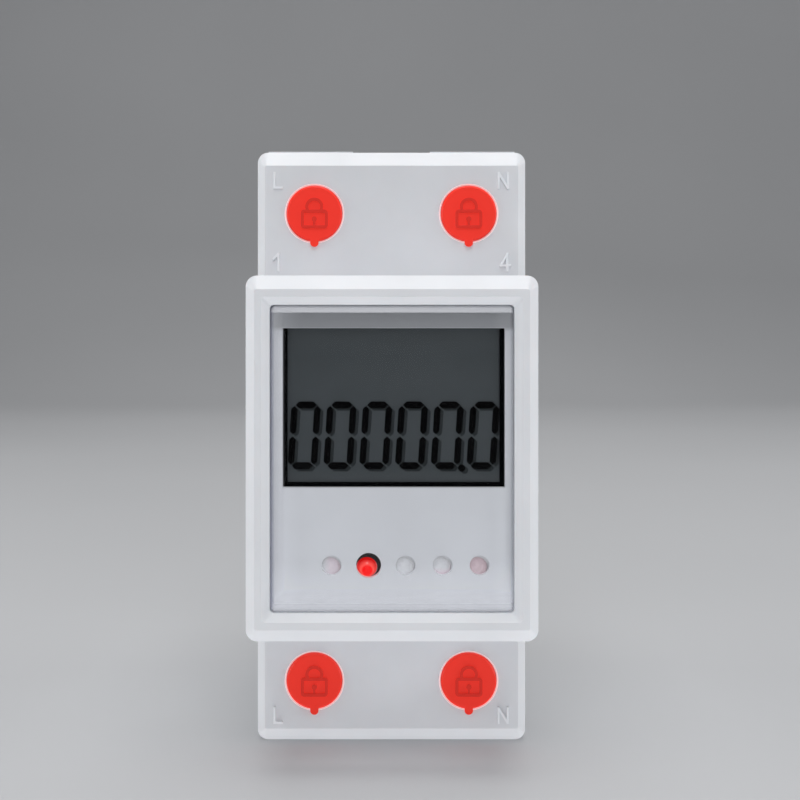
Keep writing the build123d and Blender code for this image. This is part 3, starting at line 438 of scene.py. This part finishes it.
def lcd_face():
    """Unlit display glass: dark, slightly cloudy, silky, with painted light making it paler near its top
    and foot.
    """
    look = Look("lcd_face")
    cloud = look.noise(6.0, 3.0)
    glass = look.mix(look.between(cloud, 0, 1), srgb(77, 82, 85), srgb(81, 86, 89))
    height = look.axis("Z")
    # Painted light: paler near the top and foot of the display, where the recess shades it.
    head = look.between(height, 0, 1, LCD_PAINTED_LIGHT_Z[1], LCD_PAINTED_LIGHT_Z[1] + 3.5 * MM)
    foot = look.between(height, 1, 0, LCD_PAINTED_LIGHT_Z[0] - 1.5 * MM, LCD_PAINTED_LIGHT_Z[0])
    edge = look.maths("MAXIMUM", head, foot)
    grain = look.noise(0.1, 2.0)
    look.wear(Base_Color=look.mix(edge, glass, srgb(91, 96, 99)), Roughness=look.between(grain, 0.32, 0.42))
    look.set(Specular_IOR_Level=0.15)
    look.bump([(grain, 0.001)], 0.1)
    return look


def ink(name, colour, rough):
    """Thin dark layer inside the display, a touch uneven."""
    look = Look(name)
    cloud = look.noise(1.5, 2.0)
    look.wear(Base_Color=look.mix(look.between(cloud, 0, 1), scaled(colour, 0.8), colour))
    look.wear(Roughness=look.between(cloud, rough - 0.05, rough + 0.05))
    look.set(Specular_IOR_Level=0.02)
    return look


def case_look(colour):
    """Case plastic with painted highlights: paler, faintly glowing raised marks and rims of the cap seats.
    """
    look = plastic("case_plastic", colour, 0.42, edge_mm=0.12, glow=0.1)
    x, y, z = (look.axis(letter) for letter in "XYZ")
    reach = look.reach(look.maths("ABSOLUTE", x), look.maths("ABSOLUTE", z), CAP_AT)
    in_ring = look.maths("COMPARE", reach, sum(CAP_RIM) / 2)
    in_ring.node.inputs[2].default_value = (CAP_RIM[1] - CAP_RIM[0]) / 2
    near_front = look.maths("LESS_THAN", y, -RIM_DEPTH)
    rim = look.maths("MULTIPLY", in_ring, near_front)
    raised = look.maths("LESS_THAN", y, -MARK_DEPTH)
    outside_nose = look.maths("GREATER_THAN", look.maths("ABSOLUTE", z), NOSE_HALF)
    mark = look.maths("MULTIPLY", raised, outside_nose)
    # Painted highlight: the raised marks and the cap-seat rims are paler and glow a little.
    painted_highlight = look.maths("MAXIMUM", rim, mark)
    look.wear(Base_Color=look.mix(painted_highlight, look.base(), scaled(colour, HIGHLIGHT_TONE)))
    look.set(Emission_Color=(1, 1, 1, 1))
    rim_highlight = look.maths("MULTIPLY", rim, RIM_HIGHLIGHT_GLOW)
    mark_highlight = look.maths("MULTIPLY", mark, MARK_HIGHLIGHT_GLOW)
    look.wear(Emission_Strength=look.maths("ADD", rim_highlight, mark_highlight))
    return look


def cap_look(colour):
    """Seal plastic: soft red with a painted glow, and painted shade that makes the raised sign a deeper red
    with less glow.
    """
    look = plastic("red_seal_plastic", colour, 0.42, depth_mm=0.008, mottle=0.04, edge_mm=0.06, sheen=0.3)
    # Painted shade: the raised sign is darker and glows less.
    sign = look.maths("LESS_THAN", look.axis("Y"), -SIGN_DEPTH)
    look.wear(Base_Color=look.mix(sign, look.base(), scaled(colour, SIGN_SHADE_TONE)))
    look.set(Emission_Color=(1.0, 0.07, 0.04, 1))
    look.wear(Emission_Strength=look.between(sign, *CAP_PAINTED_GLOW, 0, 1))
    return look


CASE_WHITE = srgb(223, 225, 229)
PANEL_WHITE = srgb(246, 247, 251)
RED = srgb(240, 42, 28)
COPPER = (0.72, 0.36, 0.22, 1)
TIN = (0.62, 0.61, 0.58, 1)
STEEL = (0.58, 0.58, 0.57, 1)

looks = {
    "case": case_look(CASE_WHITE),
    "panel": panel_look(PANEL_WHITE),
    "red": cap_look(RED),
    "clip": plastic("clip_plastic", (0.07, 0.075, 0.08, 1), 0.4, edge_mm=0.2),
    "natural": plastic("natural_plastic", (0.66, 0.65, 0.61, 1), 0.4, edge_mm=0.1, glow=0.2),
    "gasket": plastic("gasket_rubber", (5e-4, 6e-4, 1e-3, 1), 0.9, 0.3, 0.01, edge_mm=0.05, sheen=0.0),
    "zebra": wound("zebra_rubber", (0.30, 0.22, 0.22, 1), 0.7, "X", 0.4, 0.01),
    "diffuser": plastic("milky_diffuser", (0.80, 0.82, 0.83, 1), 0.25, glow=0.5),
    "black": plastic("black_epoxy", (0.016, 0.016, 0.018, 1), 0.55, 0.15, 0.012, 0.2, 0.05),
    "shell": plastic("relay_shell_plastic", (0.03, 0.03, 0.034, 1), 0.4, 0.3, mottle=0.15, edge_mm=0.1),
    "yellow": plastic("yellow_box", (0.62, 0.37, 0.02, 1), 0.3, grain_mm=0.4, mottle=0.06),
    "sleeve": plastic("shrink_sleeve", (0.015, 0.025, 0.09, 1), 0.22, grain_mm=0.8, mottle=0.1),
    "lacquer": plastic("blue_lacquer", (0.012, 0.06, 0.30, 1), 0.25, 0.9, 0.05, 0.15),
    "insulation": plastic("wire_insulation", (0.42, 0.02, 0.015, 1), 0.35, grain_mm=0.5),
    "ferrite": plastic("ferrite", (0.035, 0.035, 0.037, 1), 0.6, 0.1, 0.02, 0.25, 0.1),
    "steel": metal("zinc_steel", STEEL, 0.3),
    "thread": metal("turned_steel", STEEL, 0.26, (1, 6, 1)),
    "wire": metal("spring_wire", (0.50, 0.50, 0.51, 1), 0.25, (1, 1, 4)),
    "tin": metal("tinned_metal", TIN, 0.28),
    "bar": metal("tinned_copper", (0.66, 0.60, 0.52, 1), 0.3, (6, 1, 0.6)),
    "copper": metal("bare_copper", COPPER, 0.3, (6, 1, 0.6), stain=0.25),
    "manganin": metal("manganin", (0.45, 0.31, 0.22, 1), 0.36, (6, 1, 0.6), stain=0.3),
    "silver": metal("contact_silver", (0.83, 0.82, 0.78, 1), 0.22),
    "iron": metal("soft_iron", (0.36, 0.36, 0.36, 1), 0.42, stain=0.2),
    "magnet": metal("nickel_magnet", (0.50, 0.49, 0.47, 1), 0.2),
    "tape": wound("winding_tape", (0.50, 0.30, 0.04, 1), 0.35, "Z", 1.1, 0.03),
    "coil": wound("coil_wire", (0.55, 0.19, 0.07, 1), 0.3, "Z", 0.22, 0.04, 0.8),
    "board": board("circuit_board", (0.012, 0.13, 0.045, 1), (0.03, 0.24, 0.08, 1)),
    "white_board": board("display_board", (0.62, 0.63, 0.64, 1), (0.70, 0.71, 0.71, 1)),
    "foam": plastic("white_foam", (0.80, 0.80, 0.81, 1), 0.8, 0.3, 0.02, edge_mm=0),
    "pane": window_pane(),
    "lit": lamp_red(),
    "unlit": lamp_clear(),
    "lcd": lcd_face(),
}

WEARS = {
    "case": ("base_housing", "front_cover"),
    "panel": ("face_panel",),
    "red": tuple(f"seal_cap_{n}" for n in "1234"),
    "clip": ("din_clip",),
    "natural": ("terminal_retainers", "lcd_carrier", "board_spacers", "relay_bobbin", "push_card"),
    "gasket": ("lcd_gasket",),
    "zebra": ("zebra_strip",),
    "diffuser": ("lcd_backlight",),
    "black": ("metering_chip", "controller_chip", "board_socket", "battery_holder"),
    "shell": ("relay_case", "relay_cover"),
    "yellow": ("x2_capacitor",),
    "sleeve": ("filter_capacitors",),
    "lacquer": ("varistor",),
    "insulation": ("sense_wires", "coil_wires"),
    "ferrite": ("transformer_core",),
    "steel": ("case_screws",) + tuple(f"clamp_cage_{n}" for n in "1234"),
    "thread": tuple(f"terminal_screw_{n}" for n in "1234"),
    "wire": ("din_clip_spring",),
    "tin": ("board_header", "clock_battery", "crystal"),
    "bar": ("line_in_bar", "line_out_bar", "neutral_bar"),
    "copper": ("relay_link_bar", "contact_blade"),
    "manganin": ("current_shunt",),
    "silver": ("fixed_contact",),
    "iron": ("relay_armature", "relay_yoke"),
    "magnet": ("armature_magnet",),
    "tape": ("transformer_coil",),
    "coil": ("relay_coil",),
    "board": ("main_pcb",),
    "white_board": ("display_pcb",),
    "pane": ("display_window",),
    "lit": ("pulse_led",),
    "unlit": ("indicator_leds",),
    "lcd": ("lcd_glass",),
}
for look_name, members in WEARS.items():
    for member in members:
        slots = nodes[member].data.materials
        slots.clear()
        slots.append(looks[look_name].material)


# ================================================================== pieces made as meshes
def new_object(name, mesh, look):
    """Object in the scene from a finished mesh, wearing this look."""
    data = bpy.data.meshes.new(name)
    mesh.to_mesh(data)
    mesh.free()
    data.materials.append(look.material)
    piece = bpy.data.objects.new(name, data)
    bpy.context.scene.collection.objects.link(piece)
    return piece


def circle(centre, radius, steps):
    """Points round a circle, as (x, z) pairs."""
    turns = [2 * math.pi * k / steps for k in range(steps)]
    return [(centre[0] + radius * math.cos(turn), centre[1] + radius * math.sin(turn)) for turn in turns]


def prism(mesh, outline, depth_y, shift=(0.0, 0.0)):
    """Adds a thin flat shape, given by its (x, z) outline, standing in front of depth_y."""
    rings = []
    for y in (depth_y, depth_y - PRINT_THICK):
        rings.append([mesh.verts.new((x + shift[0], y, z + shift[1])) for x, z in outline])
    back, front = rings
    mesh.faces.new(front)
    mesh.faces.new(list(reversed(back)))
    count = len(outline)
    for index in range(count):
        after = (index + 1) % count
        mesh.faces.new((back[index], back[after], front[after], front[index]))


def segment(start, stop, thickness):
    """Bar with pointed ends between two corners of a figure, as an (x, z) outline."""
    start, stop = Vector(start), Vector(stop)
    along = (stop - start).normalized()
    across = Vector((-along.y, along.x)) * thickness / 2
    inset = along * (thickness / 2)
    start, stop = start + along * DIGIT_GAP, stop - along * DIGIT_GAP
    points = (
        start,
        start + inset + across,
        stop - inset + across,
        stop,
        stop - inset - across,
        start + inset - across,
    )
    return [tuple(point) for point in points]


def zero_outlines(left, foot):
    """Six bars of an upright nought, leaned to the right."""
    low, high = foot + DIGIT_BAR / 2, foot + DIGIT_HEIGHT - DIGIT_BAR / 2
    near, far = left + DIGIT_POST / 2, left + DIGIT_WIDTH - DIGIT_POST / 2
    middle = (low + high) / 2
    bars = (
        ((near, low), (far, low), DIGIT_BAR),
        ((far, low), (far, middle), DIGIT_POST),
        ((far, middle), (far, high), DIGIT_POST),
        ((near, high), (far, high), DIGIT_BAR),
        ((near, middle), (near, high), DIGIT_POST),
        ((near, low), (near, middle), DIGIT_POST),
    )
    lean = math.tan(DIGIT_LEAN)
    for bar in bars:
        yield [(x + (z - foot) * lean, z) for x, z in segment(*bar)]


def figures(name, colour, lift, shift):
    """One piece holding all figures and the point, shifted by a small offset."""
    glass_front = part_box("lcd_glass")[0].y
    depth_y = glass_front - lift
    mesh = bmesh.new()
    for index in range(DIGITS):
        for outline in zero_outlines(DIGIT_LEFT + index * DIGIT_PITCH, DIGIT_FOOT):
            prism(mesh, outline, depth_y, shift)
    prism(mesh, circle((DOT_X, DOT_Z), DOT_R, DOT_STEPS), depth_y, shift)
    bmesh.ops.recalc_face_normals(mesh, faces=mesh.faces)
    piece = new_object(name, mesh, ink(name + "_ink", colour, 0.45))
    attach(piece, ROOT)


def collars(name, lamps, look):
    """Flat rings behind the panel, one round each of these lamps."""
    back_of_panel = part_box("face_panel")[1].y
    mesh = bmesh.new()
    for index in lamps:
        centre = (LAMP_X[index] + LAMP_DROP[0], LAMP_ROW_Z + LAMP_DROP[1])
        loops = []
        for radius in COLLAR_R:
            ring = circle(centre, radius, COLLAR_STEPS)
            for y in (back_of_panel, back_of_panel + COLLAR_THICK):
                loops.append([mesh.verts.new((x, y, z)) for x, z in ring])
        inner_front, inner_back, outer_front, outer_back = loops
        for first, second in (
            (inner_front, outer_front),
            (outer_front, outer_back),
            (outer_back, inner_back),
            (inner_back, inner_front),
        ):
            for k in range(COLLAR_STEPS):
                after = (k + 1) % COLLAR_STEPS
                mesh.faces.new((first[k], first[after], second[after], second[k]))
    bmesh.ops.recalc_face_normals(mesh, faces=mesh.faces)
    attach(new_object(name, mesh, look), ROOT)


def coil_spring():
    """Copy of the CAD clip spring, riding on the meter body; it stands for the rigid CAD spring, which is
    hidden.
    """
    data = nodes["din_clip_spring"].data.copy()
    data.name = "clip_coil_spring"
    spring = bpy.data.objects.new("clip_coil_spring", data)
    bpy.context.scene.collection.objects.link(spring)
    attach(spring, ROOT)
    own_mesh(spring)
    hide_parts("din_clip_spring")


coil_spring()
unlit_lamps = [index for index in range(len(LAMP_X)) if index != LIT_LAMP]
collars("lamp_collars", unlit_lamps, looks["foam"])
# The black ring behind the lit lamp's hole is painted shade.
collars("pulse_shade_collar", [LIT_LAMP], looks["black"])
# lcd_figure_shadows is a painted shadow: a dark offset copy of the figures, where their shadow falls on the
# display.
figures("lcd_figure_shadows", srgb(56, 60, 62), PRINT_LIFT, SHADOW_SHIFT)
figures("lcd_figures", srgb(1, 1, 2), 3 * PRINT_LIFT, (0.0, 0.0))


# ================================================================== floor, light, camera
def backdrop():
    """Pale floor that curves up into a wall behind and lets light through from underneath."""
    floor_z = cad_box[0].z - FLOOR_DROP
    bend_y = BACKDROP_Y - BACKDROP_BEND
    profile = [(-FLOOR_HALF, floor_z), (bend_y, floor_z)]
    for k in range(1, BEND_STEPS + 1):
        turn = math.pi / 2 * k / BEND_STEPS
        out, up = BACKDROP_BEND * math.sin(turn), BACKDROP_BEND * (1 - math.cos(turn))
        profile.append((bend_y + out, floor_z + up))
    profile.append((BACKDROP_Y, BACKDROP_TOP))
    mesh = bmesh.new()
    rows = [[mesh.verts.new((x, y, z)) for y, z in profile] for x in (-FLOOR_HALF, FLOOR_HALF)]
    for k in range(len(profile) - 1):
        mesh.faces.new((rows[0][k], rows[1][k], rows[1][k + 1], rows[0][k + 1]))
    look = Look("floor_paper")
    cloud = look.between(look.noise(300.0, 2.0), 0, 1)
    look.wear(Base_Color=look.mix(cloud, srgb(178, 179, 181), srgb(183, 184, 186)))
    look.set(Roughness=0.9)
    floor = new_object("floor", mesh, look)
    for face in floor.data.polygons:
        face.use_smooth = True
    floor.visible_shadow = False


def soft_light(name, at, size, power, target=(0, -0.03, 0)):
    """Soft box, given by its width and height, aimed at the object and left out of sight."""
    data = bpy.data.lights.new(name, "AREA")
    data.shape = "RECTANGLE"
    data.size, data.size_y = size
    data.energy = power
    light = bpy.data.objects.new(name, data)
    light.visible_camera = False
    light.location = at
    light.rotation_euler = (Vector(target) - Vector(at)).to_track_quat("-Z", "Y").to_euler()
    bpy.context.scene.collection.objects.link(light)


def camera():
    """Front camera whose lens shift holds only at its own place, so other views stay centred."""
    data = bpy.data.cameras.new("camera")
    data.lens = CAMERA_LENS
    data.clip_start, data.clip_end = 0.01, 20
    cam = bpy.data.objects.new("camera", data)
    cam.location = CAMERA_AT
    cam.rotation_euler = (math.pi / 2, 0, 0)
    bpy.context.scene.collection.objects.link(cam)
    bpy.context.scene.camera = cam
    for prop, value in CAMERA_SHIFT.items():
        driver = data.driver_add(prop).driver
        driver.type = "SCRIPTED"
        tests = []
        for letter, home in zip("xyz", CAMERA_AT):
            variable = driver.variables.new()
            variable.name = letter
            variable.type = "TRANSFORMS"
            variable.targets[0].id = cam
            variable.targets[0].transform_type = f"LOC_{letter.upper()}"
            tests.append(f"abs({letter} - ({home:.5f})) < {HOME_TOLERANCE:.5f}")
        driver.expression = f"{value} if {' and '.join(tests)} else 0.0"


backdrop()
soft_light("key_light", (0.0, -0.55, 0.6), (0.35, 0.35), 1.7)
soft_light("top_light", (0.0, -0.05, 0.75), (0.5, 0.5), 3.2)
soft_light("left_light", (-0.75, -0.06, 0.14), (0.5, 0.34), 2.2)
soft_light("right_light", (0.75, -0.06, 0.14), (0.5, 0.34), 2.2)
soft_light("front_light", (0.0, -1.0, 0.1), (0.8, 0.8), 1.0)
soft_light("under_light", (0.0, -0.25, -0.5), (0.5, 0.5), 1.95)
soft_light("back_light", (0.1, 0.7, 0.5), (0.5, 0.5), 1.0)
world = bpy.data.worlds.new("room")
world.use_nodes = True
sky = world.node_tree.nodes["Background"]
sky.inputs["Color"].default_value = (0.97, 0.98, 1.0, 1)
sky.inputs["Strength"].default_value = WORLD_LIGHT
bpy.context.scene.world = world
bpy.context.scene.view_settings.view_transform = "Standard"
camera()
